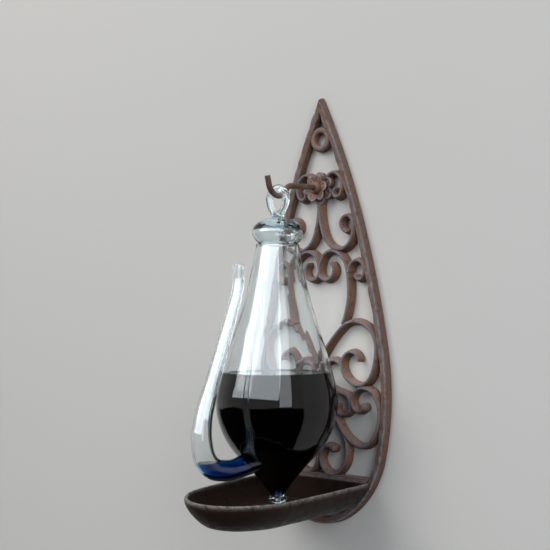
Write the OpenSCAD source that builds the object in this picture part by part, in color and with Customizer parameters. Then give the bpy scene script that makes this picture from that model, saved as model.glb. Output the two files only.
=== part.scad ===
// Weather glass on a scrolled iron wall bracket, in millimetres.
// +Z is up, the wall is the plane y = 0, and the glass hangs in front of it towards -Y.
// The origin lies on the wall, behind the middle of the rosette that holds the hook.

/* [Bracket] */
// depth of the outer frame bar, from the wall to its front
frame_depth = 8; // [6:0.5:11]
// width of the outer frame bar on its inner side, from the front ridge
frame_inner_w = 4.8; // [3.6:0.2:6]
// width of the outer frame bar on its outer side, from the front ridge
frame_outer_w = 1.4; // [1:0.1:2.2]
// depth of the scroll bars, from the wall to their rounded front
scroll_depth = 7.6; // [5.6:0.4:10]
// width of the scroll bars
scroll_w = 5.6; // [4.8:0.2:6]
// gap left by a weld seam between two pieces of iron
weld_gap = 0.1; // [0.05:0.05:0.2]
// outer radius of the hanging ring
ring_r = 9.6; // [8.8:0.2:12]
// radius of the screw hole in the hanging ring
ring_hole_r = 5; // [3:0.25:6]
// height of the middle of the hanging ring over the rosette
ring_z = 38.4; // [36:0.2:41]
// depth of the hanging ring
ring_depth = 6; // [4:0.5:8]
// height of the cross bar that carries the tray
cross_h = 5; // [4:0.5:7]
// how far the cross bar stands above the tray's rim
cross_lip = 3.8; // [1:0.2:4.4]

/* [Rosette] */
// reach of the back flower's petals from the middle
flower_r = 13; // [12:0.25:14]
// number of petals on each flower
petals = 6; // [5:1:8]
// thickness of the back flower
flower_depth = 7.2; // [5:0.2:8]
// reach of the front flower's petals from the middle
front_r = 10.2; // [8.5:0.2:11.5]
// thickness of the front flower
front_depth = 4.2; // [3:0.2:6]
// how far the collar round the hook stands proud of the front flower
boss_out = 2.2; // [1:0.2:4]
// iron left behind the hook's end, against the wall
back_web = 1.5; // [1:0.25:3]

/* [Hook] */
// thickness of the hook's rod
rod_d = 4.4; // [3.6:0.2:5]
// gap between the flask's belly and the front of the frame
belly_gap = 1.8; // [1:0.2:8]
// slope of the hook's arm down from the rosette, in degrees
arm_slope = 5.4; // [2:0.2:9]
// radius of the bend from the arm into the dip
dip_r = 8; // [6:0.5:10]
// steepness of the dip below the arm, in degrees
dip_slope = 58; // [45:1:65]
// radius of the hook's bend
hook_r = 10; // [9:0.25:12]
// direction of the hook's tip, in degrees over the level
tip_slope = 75; // [65:1:90]
// straight length of the hook's tip
tip_len = 6; // [3:0.5:10]
// play between the hook and the glass eye
hang_gap = 0.3; // [0.25:0.05:0.6]

/* [Tray] */
// width of the tray over its rim
tray_w = 95.4; // [88:0.2:98]
// depth of the tray from rim to underside
tray_depth = 20; // [17:0.5:23]
// thickness of the tray's iron
tray_t = 2.6; // [2:0.2:3.4]
// radius of the tray's long sides
tray_side_r = 740; // [500:10:1000]
// radius of the tray's front corners
tray_corner_r = 51.2; // [44:0.2:56]
// room between the glass foot and the tray's floor
foot_room = 6; // [3:0.5:9]

/* [Glass] */
// wall of the blown flask
glass_wall = 2; // [1.4:0.1:2.6]
// wall of the hollow collar over the neck
collar_wall = 2.6; // [1.8:0.1:3.2]
// thickness of the eye's glass rod
eye_rod_d = 5.2; // [4.4:0.2:6]
// half the width of the eye's hole
eye_hole_r = 5.4; // [4.6:0.2:7]
// straight part between the eye's two bends
eye_stretch = 2; // [1:0.5:6]
// height of the stalk under the eye, up to the middle of its rod
eye_stalk = 4; // [3.4:0.2:7]
// radius of the foot button
foot_r = 6.8; // [5.4:0.2:8]
// height of the foot button
foot_h = 4.9; // [3:0.2:6]
// seam between two fused pieces of glass
seam = 0.06; // [0.04:0.02:0.16]

/* [Spout] */
// outer radius of the spout at its mouth
mouth_r = 3.9; // [3.4:0.1:4.6]
// outer radius of the spout at its elbow
elbow_r = 7.3; // [6.4:0.1:8]
// outer radius of the spout where it meets the flask
root_r = 8.4; // [7.8:0.1:9.2]
// wall of the spout
spout_wall = 1.4; // [1:0.1:1.8]
// distance of the spout's mouth from the middle of the flask
mouth_out = 40; // [38:0.5:44]
// depth of the spout's mouth below the neck
mouth_drop = 16.3; // [12:0.5:22]
// straight length of the spout's lip
lip_len = 9.5; // [6:0.5:14]
// lean of the spout away from the flask, in degrees
lean = 21; // [19:0.25:22]
// straight length of the spout's leaning part
lean_len = 61.6; // [58:0.2:66]
// radius of the elbow's middle line
elbow_bend = 19; // [17:0.5:21]
// rise of the spout's root towards the flask, in degrees
root_rise = 9.4; // [4:0.2:14]

/* [Water] */
// depth of the water's surface in the flask below the neck
flask_level = 93; // [70:1:110]
// depth of the water's surface in the spout below the neck
spout_level = 141; // [122:1:144]
// play between the water and the glass
water_gap = 0.25; // [0.2:0.05:0.5]

/* [Hidden] */
$fn = 72;
far = 400;

// scrolls of the right side, all on the wall with x across and z up:
// start point, heading in degrees, then bends as radius and sweep, left turns positive
frame_start = [-3.5, 75.6];
frame_head = -63.2;
frame_bends = [[620.5, -9.9], [771.2, -7.6], [214.6, -21.9], [71.8, -42.2], [50.2, -38.6]];
curl_start = [8.3, 8.8];
curl_head = 54.4;
curl_bends = [[6.2, -85.8], [11.3, -52.7], [12, -40.8], [3.5, -93.8], [3.3, -92.8]];
lyre_start = [0.36, -10.4];
lyre_head = -93.8;
lyre_bends = [[57, 26.3], [17.8, 59.4], [11.5, 72.9], [20.3, 38.3], [5.9, 78.5], [5.4, 102], [6.9, 56]];
fork_start = [21.8, -103.7];
fork_head = 59.1;
fork_bends = [[46.4, 26.3], [63.7, 19.8], [17.5, 59], [10.1, 71.3], [18.1, 33.5], [7, 67.7], [7.2, 76.6],
    [6.5, 82.8]];
stem_start = [28.6, -65.3];
stem_head = 100.2;
stem_bends = [[7.3, -100.8], [6.9, -91.4], [9.7, -41.9], [3.2, -115]];
big_start = [-0.05, -134.2];
big_head = 61.9;
big_bends = [[95.8, -21], [17.7, -72], [21.2, -54.8], [40.6, -30], [13, -74.6], [16.2, -63.9], [10.3, -71.4],
    [7.1, -106]];
inner_start = [22.1, -137.5];
inner_head = 117;
inner_bends = [[10.2, 134.2], [11.3, 85.1], [70.6, 12], [8, -125.9], [7.9, -68.3], [4.4, -80]];
lower_start = [-0.6, -158.2];
lower_head = -34.4;
lower_bends = [[62, -27.9], [31.3, 39.7], [12.3, 74.6], [34.1, 29.1], [23.5, 43.5], [12.7, 62.1],
    [10.7, 68.9], [7.4, 82], [4.6, 96]];
bottom_start = [24.6, -190.1];
bottom_head = -66;
bottom_bends = [[24.5, -39.5], [18.5, -45.7], [9.6, -68.5], [13.1, -45], [10.9, -46.8], [6.2, -91.3]];

// outline of the flask from its neck to its tip, and of the collar from its crown to the neck
flask_start = [15.5, 0];
flask_head = -81;
flask_bends = [[379.1, 9.7], [562, -4.1], [51.9, -31.7], [60.4, -28], [157.6, 12.7]];
collar_start = [5, 19.4];
collar_head = -23;
collar_bends = [[55.7, -13.9], [5.2, -78.5], [20.9, -21.1]];

// a move along bends: where it ends, and the heading there
function bend_end(p, h, r, a) = p + r * sign(a) * [sin(h + a) - sin(h), cos(h) - cos(h + a)];
function run_end(p, h, bends, i = 0) = i == len(bends) ? p
    : run_end(bend_end(p, h, bends[i][0], bends[i][1]), h + bends[i][1], bends, i + 1);
function run_head(h, bends, i = 0) = i == len(bends) ? h : run_head(h + bends[i][1], bends, i + 1);

// points along bends, moved sideways by off
function side(p, h, off) = p + off * [-sin(h), cos(h)];
function bend_points(p, h, r, a, off) = let (n = ceil(max(abs(a) / 6, r * abs(a) / 350)))
    [for (k = [0:n - 1]) side(bend_end(p, h, r, a * k / n), h + a * k / n, off)];
function run_points(p, h, bends, off, i = 0) = i == len(bends) ? [side(p, h, off)]
    : concat(bend_points(p, h, bends[i][0], bends[i][1], off),
        run_points(bend_end(p, h, bends[i][0], bends[i][1]), h + bends[i][1], bends, off, i + 1));

// sections of the iron bars: x is the left side of the way ahead, y is the height over the wall
scroll_shape = [for (p = [[-1, 0], [1, 0], [1, 0.42], [0.74, 0.82], [0.3, 1], [-0.3, 1], [-0.74, 0.82],
    [-1, 0.42]]) [p[0] * scroll_w / 2, p[1] * scroll_depth]];
frame_cut = frame_depth / 5;
frame_shape = [[-frame_inner_w, 0], [frame_outer_w, 0], [frame_outer_w, frame_depth - frame_cut],
    [frame_outer_w * 0.3, frame_depth], [frame_cut - frame_inner_w, frame_depth],
    [-frame_inner_w, frame_depth - frame_cut * 0.8]];
function seat_shape(right, left, top) = [[-right - weld_gap, -1], [left + weld_gap, -1],
    [left + weld_gap, top + 1], [-right - weld_gap, top + 1]];
scroll_seat_shape = seat_shape(scroll_w / 2, scroll_w / 2, scroll_depth);
frame_seat_shape = seat_shape(frame_inner_w, frame_outer_w, frame_depth);

// the section set up along the bends, ring by ring, and drawn in to a round tip
function ring(p, h, shape, wide = 1) = [for (s = shape) let (q = side(p, h, s[0] * wide)) [q[0], q[1], s[1]]];
function bend_rings(p, h, r, a, shape) = let (n = ceil(max(abs(a) / 12, r * abs(a) / 800)))
    [for (k = [0:n - 1]) ring(bend_end(p, h, r, a * k / n), h + a * k / n, shape)];
function run_rings(p, h, bends, shape, i = 0) = i == len(bends) ? [ring(p, h, shape)]
    : concat(bend_rings(p, h, bends[i][0], bends[i][1], shape),
        run_rings(bend_end(p, h, bends[i][0], bends[i][1]), h + bends[i][1], bends, shape, i + 1));
function tip_rings(p, h, shape, w) = [for (t = [30, 60, 85])
    ring(p + w * sin(t) * [cos(h), sin(h)], h, shape, cos(t))];

module skin(rings) {
    n = len(rings[0]);
    m = len(rings);
    around = [for (i = [0:m - 2]) for (j = [0:n - 1]) let (k = (j + 1) % n)
        [i * n + j, (i + 1) * n + j, (i + 1) * n + k, i * n + k]];
    back = [for (j = [0:n / 2 - 2]) [j, j + 1, n - 2 - j, n - 1 - j]];
    front = [for (f = back) [for (k = [3:-1:0]) (m - 1) * n + f[k]]];
    quads = concat(around, back, front);
    polyhedron([for (r = rings) for (q = r) q],
        [for (f = quads) for (t = [[f[0], f[1], f[2]], [f[0], f[2], f[3]]]) t]);
}

// one bend of any section, from the origin and heading along +X, with its ends trimmed
module bend(r, a, trim = 0) {
    s = sign(a);
    t = trim / r * 180 / PI;
    translate([0, s * r, 0])
        rotate([0, 0, s > 0 ? t - 90 : 90 + a + t])
            rotate_extrude(angle = abs(a) - 2 * t)
                translate([r, 0])
                    mirror([s > 0 ? 1 : 0, 0])
                        children();
}

// stands what is drawn flat on the wall: its x and y become x and z, its height points to -Y
module on_wall() {
    rotate([90, 0, 0]) children();
}

module laid(start, head) {
    translate([start[0], start[1], 0]) rotate([0, 0, head]) children();
}

// a scroll bar with a rounded tip
module scroll(start, head, bends) {
    tip = run_end(start, head, bends);
    skin(concat(run_rings(start, head, bends, scroll_shape),
        tip_rings(tip, run_head(head, bends), scroll_shape, scroll_w / 2)));
}

// round button at the eye of a scroll
module scroll_button(start, head, bends, r) {
    p = run_end(start, head, bends);
    translate([p[0], p[1], 0])
        rotate_extrude()
            polygon([[0, 0], [r, 0], [r, scroll_depth * 0.6], [r * 0.8, scroll_depth * 0.88],
                [r * 0.45, scroll_depth], [0, scroll_depth]]);
}

// what is cut from a piece that is welded against a scroll, the frame, the rosette or the cross bar
module scroll_seat(start, head, bends) {
    skin(run_rings(start, head, bends, scroll_seat_shape));
}

module frame_seat() {
    skin(run_rings(frame_start, frame_head, frame_bends, frame_seat_shape));
}

module rosette_seat() {
    translate([0, 0, -1]) cylinder(r = flower_r + weld_gap, h = scroll_depth + 2);
}

module cross_seat() {
    translate([-far, cross_top + weld_gap - far, -1]) cube([2 * far, far, scroll_depth + 2]);
}

// all that lies to the right of the middle, less half a weld seam
module right_half() {
    translate([weld_gap / 2, -far, -1]) cube([far, 2 * far, 3 * frame_depth]);
}

module frame_bar() {
    color("#5b3a2c")
        on_wall()
            intersection() {
                skin(run_rings(frame_start, frame_head, frame_bends, frame_shape));
                right_half();
            }
}

module hanging_ring() {
    color("#4c3026")
        on_wall()
            difference() {
                translate([0, ring_z, 0])
                    rotate_extrude()
                        polygon([[ring_hole_r, 0], [ring_r, 0], [ring_r, ring_depth * 0.7],
                            [ring_r - 1.4, ring_depth], [ring_hole_r + 0.8, ring_depth],
                            [ring_hole_r, ring_depth - 0.8]]);
                frame_seat();
                mirror([1, 0, 0]) frame_seat();
            }
}

module upper_curl() {
    color("#7a4f3a")
        on_wall()
            difference() {
                scroll(curl_start, curl_head, curl_bends);
                frame_seat();
                rosette_seat();
            }
}

module lyre_scroll() {
    color("#8a5a44")
        on_wall()
            difference() {
                intersection() {
                    scroll(lyre_start, lyre_head, lyre_bends);
                    right_half();
                }
                frame_seat();
                rosette_seat();
            }
}

module fork_scroll() {
    color("#74483a")
        on_wall()
            difference() {
                intersection() {
                    scroll(fork_start, fork_head, fork_bends);
                    right_half();
                }
                scroll_seat(big_start, big_head, big_bends);
                scroll_seat(lyre_start, lyre_head, lyre_bends);
            }
}

module stem_curl() {
    color("#845440")
        on_wall()
            difference() {
                scroll(stem_start, stem_head, stem_bends);
                frame_seat();
                scroll_seat(fork_start, fork_head, fork_bends);
            }
}

module big_spiral() {
    color("#6b4435")
        on_wall()
            difference() {
                intersection() {
                    scroll(big_start, big_head, big_bends);
                    right_half();
                }
                frame_seat();
            }
}

module inner_scroll() {
    color("#7d5341")
        on_wall()
            difference() {
                intersection() {
                    scroll(inner_start, inner_head, inner_bends);
                    right_half();
                }
                scroll_seat(big_start, big_head, big_bends);
                scroll_seat(lower_start, lower_head, lower_bends);
            }
}

module lower_spiral() {
    color("#8a5a44")
        on_wall()
            difference() {
                intersection() {
                    union() {
                        scroll(lower_start, lower_head, lower_bends);
                        scroll_button(lower_start, lower_head, lower_bends, 3.4);
                    }
                    right_half();
                }
                frame_seat();
                scroll_seat(big_start, big_head, big_bends);
            }
}

module bottom_spiral() {
    color("#74483a")
        on_wall()
            difference() {
                intersection() {
                    union() {
                        scroll(bottom_start, bottom_head, bottom_bends);
                        scroll_button(bottom_start, bottom_head, bottom_bends, 3.2);
                    }
                    right_half();
                }
                scroll_seat(lower_start, lower_head, lower_bends);
                cross_seat();
            }
}

// the cross bar runs between the frame bars, behind the tray's rim
module cross_half() {
    edge = run_rings(frame_start, frame_head, frame_bends, [[-frame_inner_w - weld_gap, 0]]);
    inside = [for (r = edge) if (r[0][0] > 1) [r[0][0], r[0][1]]];
    intersection() {
        translate([0, cross_top - cross_h, 0]) cube([far, cross_h, scroll_depth]);
        linear_extrude(scroll_depth)
            polygon(concat(inside, [[0, inside[len(inside) - 1][1]], [0, inside[0][1]]]));
    }
}

module cross_bar() {
    color("#6b4435")
        on_wall() {
            cross_half();
            mirror([1, 0, 0]) cross_half();
        }
}

// rosette: two flowers, one on the other, with the hook's shank through the middle
module petal_ring(reach, thick, edge) {
    pr = reach * 0.36;
    for (k = [0:petals - 1])
        rotate([0, 0, (k + 0.5) * 360 / petals])
            translate([reach - pr, 0, 0]) {
                cylinder(r = pr, h = thick - edge);
                translate([0, 0, thick - edge]) cylinder(r1 = pr, r2 = pr - edge, h = edge);
            }
}

module petal_dimples(reach, top, r, turn) {
    for (k = [0:petals - 1])
        rotate([0, 0, turn + (k + 0.5) * 360 / petals])
            translate([reach, 0, top + r * 0.55]) sphere(r = r);
}

module rosette_back() {
    color("#7a4f3a")
        on_wall()
            difference() {
                union() {
                    petal_ring(flower_r, flower_depth, 1.4);
                    cylinder(r = flower_r * 0.62, h = flower_depth);
                }
                translate([0, 0, back_web]) cylinder(r = rod_r + weld_gap, h = flower_depth);
                petal_dimples(flower_r * 0.85, flower_depth, 2.6, 0);
            }
}

module rosette_front() {
    color("#9a8580")
        on_wall()
            translate([0, 0, flower_depth + weld_gap])
                difference() {
                    union() {
                        rotate([0, 0, 180 / petals]) petal_ring(front_r, front_depth, 1.2);
                        cylinder(r = front_r * 0.6, h = front_depth);
                        cylinder(r = rod_r + 2.2, h = front_depth + boss_out);
                    }
                    translate([0, 0, -1])
                        cylinder(r = rod_r + weld_gap, h = front_depth + boss_out + 2);
                    petal_dimples(front_r * 0.8, front_depth, 2.2, 180 / petals);
                }
}

// outline of the flask, and where the hook must carry it
flask_tip = run_end(flask_start, flask_head, flask_bends);
belly_r = max([for (p = run_points(flask_start, flask_head, flask_bends, 0)) p[0]]);
saddle_y = frame_depth + belly_gap + belly_r;

// tubes and rods, as steps of a straight length, the radius at its end, and a bend with its sweep;
// at each joint a short collar a hair thicker than the rod takes both ends
joint_hair = 0.05;
joint_half = 0.3;
joint_gap = joint_half / 3;
function step_end(p, h, s) = bend_end(p + s[0] * [cos(h), sin(h)], h, s[2], s[3]);
function steps_end(p, h, steps, i = 0) = i == len(steps) ? p
    : steps_end(step_end(p, h, steps[i]), h + steps[i][3], steps, i + 1);

module cone(len, ra, rb) {
    rotate([0, 90, 0]) cylinder(r1 = ra, r2 = rb, h = len);
}

module joint_collar(r) {
    rotate([0, 90, 0]) cylinder(r = r + joint_hair, h = 2 * joint_half, center = true);
}

module tube(p, h, steps, ra, less, i = 0) {
    s = steps[i];
    rb = s[1] - less;
    last = i == len(steps) - 1;
    lead = i == 0 ? 0 : joint_gap;
    tail = last ? 0 : joint_gap;
    laid(p, h) translate([lead, 0, 0]) cone(s[0] - lead - tail, ra, rb);
    if (!last) {
        laid(p + s[0] * [cos(h), sin(h)], h) {
            joint_collar(rb);
            if (s[2] > 0) bend(s[2], s[3], joint_gap) circle(r = rb);
        }
        if (s[2] > 0) laid(step_end(p, h, s), h + s[3]) joint_collar(rb);
        tube(step_end(p, h, s), h + s[3], steps, rb, less, i + 1);
    }
}

// hook line, as distance from the wall and height: shank, arm, dip, bend and tip
rod_r = rod_d / 2;
arm_bend = 40;
shank_len = flower_depth + front_depth + boss_out + 2 * weld_gap;
arm_end = bend_end([shank_len, 0], 0, arm_bend, -arm_slope);
dip_step = bend_end([0, 0], -arm_slope, dip_r, arm_slope - dip_slope);
low_step = step_end([0, 0], -dip_slope, [joint_half * 3, rod_r, hook_r, dip_slope]);
arm_len = (saddle_y - arm_end[0] - dip_step[0] - low_step[0]) / cos(arm_slope);
saddle_z = arm_end[1] - arm_len * sin(arm_slope) + dip_step[1] + low_step[1];
hook_start = [back_web + weld_gap, 0];
hook_steps = [[shank_len - hook_start[0], rod_r, arm_bend, -arm_slope],
    [arm_len, rod_r, dip_r, arm_slope - dip_slope],
    [joint_half * 3, rod_r, hook_r, dip_slope + tip_slope],
    [tip_len, rod_r, 0, 0]];

// stands what is drawn flat in the middle plane: its x points to -Y and its y up
module in_middle() {
    rotate([90, 0, -90]) children();
}

module hook() {
    color("#5b3a2c") in_middle() tube(hook_start, 0, hook_steps, rod_r, 0);
}

// glass: drawn from the joint of neck and collar, then hung from the hook
collar_hollow = run_points(collar_start, collar_head, collar_bends, -collar_wall);
neck_bore_r = collar_hollow[len(collar_hollow) - 1][0];
eye_rod_r = eye_rod_d / 2;
eye_reach = eye_hole_r + eye_rod_r;
lower_eye_z = collar_start[1] + eye_stalk + eye_reach;
upper_eye_z = lower_eye_z + eye_stretch;
glass_z = saddle_z + rod_r + hang_gap - upper_eye_z - eye_hole_r;

module hung() {
    translate([0, -saddle_y, glass_z]) children();
}

module flask_form(off, top, low) {
    shape = run_points(flask_start, flask_head, flask_bends, off);
    rotate_extrude()
        intersection() {
            polygon(concat([[0, 2], [flask_start[0] + off, 2]], shape,
                [[flask_tip[0] + off, low - 2], [0, low - 2]]));
            translate([0, low]) square([far, top - low]);
        }
}

module flask() {
    color("#cfe6ee", 0.5)
        hung()
            difference() {
                flask_form(0, 0, flask_tip[1]);
                flask_form(-glass_wall, -glass_wall, flask_tip[1] + glass_wall);
                translate([0, 0, -2 * glass_wall]) cylinder(r = neck_bore_r, h = 3 * glass_wall);
                spout_bore(0);
            }
}

module neck_collar() {
    shape = run_points(collar_start, collar_head, collar_bends, 0);
    edge = shape[len(shape) - 1][0];
    crown = collar_start[1] - collar_wall;
    color("#bfe0ea", 0.5)
        hung()
            rotate_extrude()
                difference() {
                    intersection() {
                        polygon(concat([[0, collar_start[1]]], shape, [[edge, -2], [0, -2]]));
                        translate([0, seam]) square([far, far]);
                    }
                    polygon(concat([[0, crown]], collar_hollow, [[neck_bore_r, -2], [0, -2]]));
                }
}

module half_eye(z, turn) {
    translate([0, 0, z])
        rotate([90, turn, 0])
            rotate_extrude(angle = 180)
                translate([eye_reach, 0]) circle(r = eye_rod_r);
}

module hanging_eye() {
    color("#c9ecf5", 0.5)
        hung() {
            half_eye(upper_eye_z, 0);
            half_eye(lower_eye_z, 180);
            for (s = [-1, 1])
                translate([s * eye_reach, 0, lower_eye_z]) cylinder(r = eye_rod_r, h = eye_stretch);
            translate([0, 0, collar_start[1] + seam])
                cylinder(r1 = collar_start[0], r2 = eye_rod_r + 0.4, h = eye_stalk - seam);
        }
}

module foot_button() {
    color("#bfe0ea", 0.5)
        hung()
            translate([0, 0, flask_tip[1] - seam])
                rotate_extrude()
                    polygon([[0, 0], [foot_r * 0.68, 0], [foot_r * 0.92, -foot_h * 0.18],
                        [foot_r, -foot_h * 0.46], [foot_r * 0.93, -foot_h * 0.74],
                        [foot_r * 0.68, -foot_h * 0.94], [foot_r * 0.3, -foot_h], [0, -foot_h]]);
}

// spout, from its mouth down to the flask
function wide(share) = mouth_r + (elbow_r - mouth_r) * share;
spout_start = [mouth_out, -mouth_drop];
elbow_turn = 39.3 + root_rise + lean;
spout_bends = [[lip_len, mouth_r, 40, lean], [lean_len, wide(0.24), 0, 0], [14, wide(0.6), 60, -12.3],
    [4, wide(0.88), 30, -18.4], [3, elbow_r, elbow_bend, -elbow_turn], [3, elbow_r, 45, -20]];
root_in = 18;
root_len = (steps_end(spout_start, -90, spout_bends)[0] - root_in) / cos(root_rise);
spout_steps = concat(spout_bends, [[root_len, root_r, 0, 0]]);

module spout_form(less) {
    in_middle() tube(spout_start, -90, spout_steps, mouth_r - less, less);
}

module spout_bore(less) {
    r = mouth_r - spout_wall - less;
    spout_form(spout_wall + less);
    in_middle() laid(spout_start + [0, 1], -90) cone(2, r, r);
}

module spout() {
    color("#cfe6ee", 0.5)
        hung()
            difference() {
                spout_form(0);
                spout_bore(0);
                flask_form(seam, 0, flask_tip[1] - seam);
            }
}

module water() {
    color("#16345e", 0.9)
        hung() {
            flask_form(-glass_wall - water_gap, -flask_level, flask_tip[1] + glass_wall + water_gap);
            intersection() {
                spout_form(spout_wall + water_gap);
                translate([-20, -100, -far]) cube([40, 90, far - spout_level]);
            }
        }
}

// tray: half of its rim runs from the back corner to the middle of the front
side_turn = 6;
corner_turn = 48;
full_turn = side_turn + corner_turn;
nose_r = (tray_w / 2 - tray_side_r * (1 - cos(side_turn))
    - tray_corner_r * (cos(side_turn) - cos(full_turn))) / cos(full_turn);
tray_bends = [[tray_side_r, -side_turn], [tray_corner_r, -corner_turn], [nose_r, full_turn - 90]];
tray_start = [tray_w / 2, -frame_depth - weld_gap];
floor_in = 18;
tray_inner = [[-tray_t, 0], [-tray_t, -3.4], [-4.2 - tray_t, tray_t * 0.3 - tray_depth * 0.5],
    [-11.8, tray_t - tray_depth * 0.86], [1 - floor_in, tray_t - tray_depth],
    [-floor_in - 1, tray_t - tray_depth]];
tray_outer = [[-floor_in - 1, -tray_depth], [1 - floor_in, -tray_depth], [-10.5, -tray_depth * 0.84],
    [-4.2, -tray_depth * 0.5], [0, -3], [0, 0]];
foot_z = glass_z + flask_tip[1] - seam - foot_h;
tray_z = foot_z - foot_room - tray_t + tray_depth;
cross_top = tray_z + cross_lip;

module tray_rim() {
    half = run_rings(tray_start, -90, tray_bends, concat(tray_inner, tray_outer));
    other = [for (k = [len(half) - 2:-1:0]) [for (q = half[k]) [-q[0], q[1], q[2]]]];
    skin(concat(half, other));
}

module tray_floor() {
    half = run_points(tray_start, -90, tray_bends, -floor_in);
    other = [for (k = [len(half) - 2:-1:0]) [-half[k][0], half[k][1]]];
    linear_extrude(tray_t) polygon(concat(half, other));
}

module tray_back() {
    right = [for (p = tray_outer) [tray_w / 2 + p[0], p[1]]];
    left = [for (k = [len(right) - 1:-1:0]) [-right[k][0], right[k][1]]];
    rotate([90, 0, 0]) linear_extrude(tray_t) polygon(concat(right, left));
}

module tray() {
    color("#352b28")
        translate([0, 0, tray_z]) {
            tray_rim();
            translate([0, 0, -tray_depth]) tray_floor();
            translate([0, tray_start[1], 0]) tray_back();
        }
}

module left() {
    mirror([1, 0, 0]) children();
}

frame_bar();  // frame_bar_right
left() frame_bar();  // frame_bar_left
hanging_ring();
upper_curl();  // upper_curl_right
left() upper_curl();  // upper_curl_left
lyre_scroll();  // lyre_scroll_right
left() lyre_scroll();  // lyre_scroll_left
fork_scroll();  // fork_scroll_right
left() fork_scroll();  // fork_scroll_left
stem_curl();  // stem_curl_right
left() stem_curl();  // stem_curl_left
big_spiral();  // big_spiral_right
left() big_spiral();  // big_spiral_left
inner_scroll();  // inner_scroll_right
left() inner_scroll();  // inner_scroll_left
lower_spiral();  // lower_spiral_right
left() lower_spiral();  // lower_spiral_left
bottom_spiral();  // bottom_spiral_right
left() bottom_spiral();  // bottom_spiral_left
cross_bar();
rosette_back();
rosette_front();
hook();
tray();
flask();
neck_collar();
hanging_eye();
foot_button();
spout();
water();
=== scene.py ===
# Weather glass on a scrolled iron wall bracket: its looks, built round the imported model.
# The scene is in metres, the drawing in millimetres. +Z is up, the wall is the plane y = 0,
# and the glass hangs in front of it, towards -Y. Headings and sweeps are in degrees.
import bmesh
import bpy
import contextlib
import math
from mathutils import Matrix, Vector, noise


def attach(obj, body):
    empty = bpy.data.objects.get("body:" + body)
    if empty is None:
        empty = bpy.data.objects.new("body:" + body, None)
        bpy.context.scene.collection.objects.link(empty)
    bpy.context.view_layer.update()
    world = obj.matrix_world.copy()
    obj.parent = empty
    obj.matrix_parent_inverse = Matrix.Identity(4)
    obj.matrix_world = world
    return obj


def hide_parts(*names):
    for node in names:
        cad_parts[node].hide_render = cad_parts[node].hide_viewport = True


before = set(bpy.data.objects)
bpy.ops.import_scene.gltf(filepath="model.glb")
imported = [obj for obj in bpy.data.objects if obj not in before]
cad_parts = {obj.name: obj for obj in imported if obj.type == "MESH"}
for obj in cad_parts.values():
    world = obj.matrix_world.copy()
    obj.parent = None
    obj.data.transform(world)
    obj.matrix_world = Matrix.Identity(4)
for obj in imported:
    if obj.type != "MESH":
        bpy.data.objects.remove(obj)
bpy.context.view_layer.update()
MM = 0.001

# ---------------------------------------------------------------- camera, fitted to the photograph
CAM_AT = (0.41296, -0.51876, -0.10524)
CAM_AHEAD = Vector((-0.56289, 0.82646, 0.01036)).normalized()
CAM_RIGHT = Vector((0.82646, 0.56289, 0)).normalized()

cam = bpy.data.objects.new("camera", bpy.data.cameras.new("camera"))
bpy.context.collection.objects.link(cam)
cam.location = CAM_AT
cam_up = CAM_RIGHT.cross(CAM_AHEAD)
cam.rotation_euler = Matrix((CAM_RIGHT, cam_up, -CAM_AHEAD)).transposed().to_euler()
cam.data.sensor_width, cam.data.lens = 36, 55.70
cam.data.shift_x, cam.data.shift_y = -0.2045, 0.0750
cam.data.clip_start, cam.data.clip_end = 0.01, 50
bpy.context.scene.camera = cam
bpy.context.scene.view_settings.view_transform = "Standard"


# ---------------------------------------------------------------- lines along arcs
def rad(a):
    return math.radians(a)


def bend_end(p, h, r, a):
    """Where a bend of radius r and sweep a leads from p with heading h."""
    s = 1 if a > 0 else -1
    return (p[0] + r * s * (math.sin(rad(h + a)) - math.sin(rad(h))),
            p[1] + r * s * (math.cos(rad(h)) - math.cos(rad(h + a))))


def walk(start, head, bends, step):
    """Points along bends of (radius, sweep), as (x, y, heading)."""
    pts, p, h = [(start[0], start[1], head)], start, head
    for r, a in bends:
        n = max(2, math.ceil(abs(r * rad(a)) / step))
        for k in range(1, n + 1):
            q = bend_end(p, h, r, a * k / n)
            pts.append((q[0], q[1], h + a * k / n))
        p, h = bend_end(p, h, r, a), h + a
    return pts


def track(start, head, steps, ra, step):
    """Points along steps of (straight length, radius at its end, bend radius, sweep), as (d, z, heading, radius)."""
    p, h, out = start, head, [(start[0], start[1], head, ra)]
    for length, rb, bend, turn in steps:
        n = max(1, math.ceil(length / step))
        for k in range(1, n + 1):
            f = k / n
            out.append(ahead((p[0], p[1], h), length * f) + (h, ra + (rb - ra) * f))
        p, ra = (out[-1][0], out[-1][1]), rb
        if bend > 0:
            n = max(2, math.ceil(abs(bend * rad(turn)) / step))
            for k in range(1, n + 1):
                out.append(bend_end(p, h, bend, turn * k / n) + (h + turn * k / n, ra))
            p, h = bend_end(p, h, bend, turn), h + turn
    return out


def eased(pts, span):
    """The same points, with the radius smoothed over span points to each side."""
    out = []
    for i, q in enumerate(pts):
        w = min(span, i, len(pts) - 1 - i)
        part = pts[i - w:i + w + 1]
        out.append(q[:3] + (sum(s[3] for s in part) / len(part),))
    return out


def aside(q, off):
    """The point at off to the left of the way ahead."""
    return (q[0] - off * math.sin(rad(q[2])), q[1] + off * math.cos(rad(q[2])))


def ahead(q, along):
    """The point further along the heading."""
    return (q[0] + along * math.cos(rad(q[2])), q[1] + along * math.sin(rad(q[2])))


def outline(line, off, low=-1e9, high=1e9):
    """The line set off to its left, from height low to height high."""
    return [p for p in (aside(q, off) for q in line) if low <= p[1] <= high]


def whole(half, on_axis=0):
    """A right half with its mirror image; the last on_axis points lie on the axis and aren't repeated."""
    return half + [(-x, y) for x, y in reversed(half[:len(half) - on_axis])]


def rough(p, scale, seed):
    """Smooth noise from -1 to 1 at a point."""
    return noise.noise(Vector(p) / scale + Vector((seed, seed * 1.7, 0)))


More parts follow.
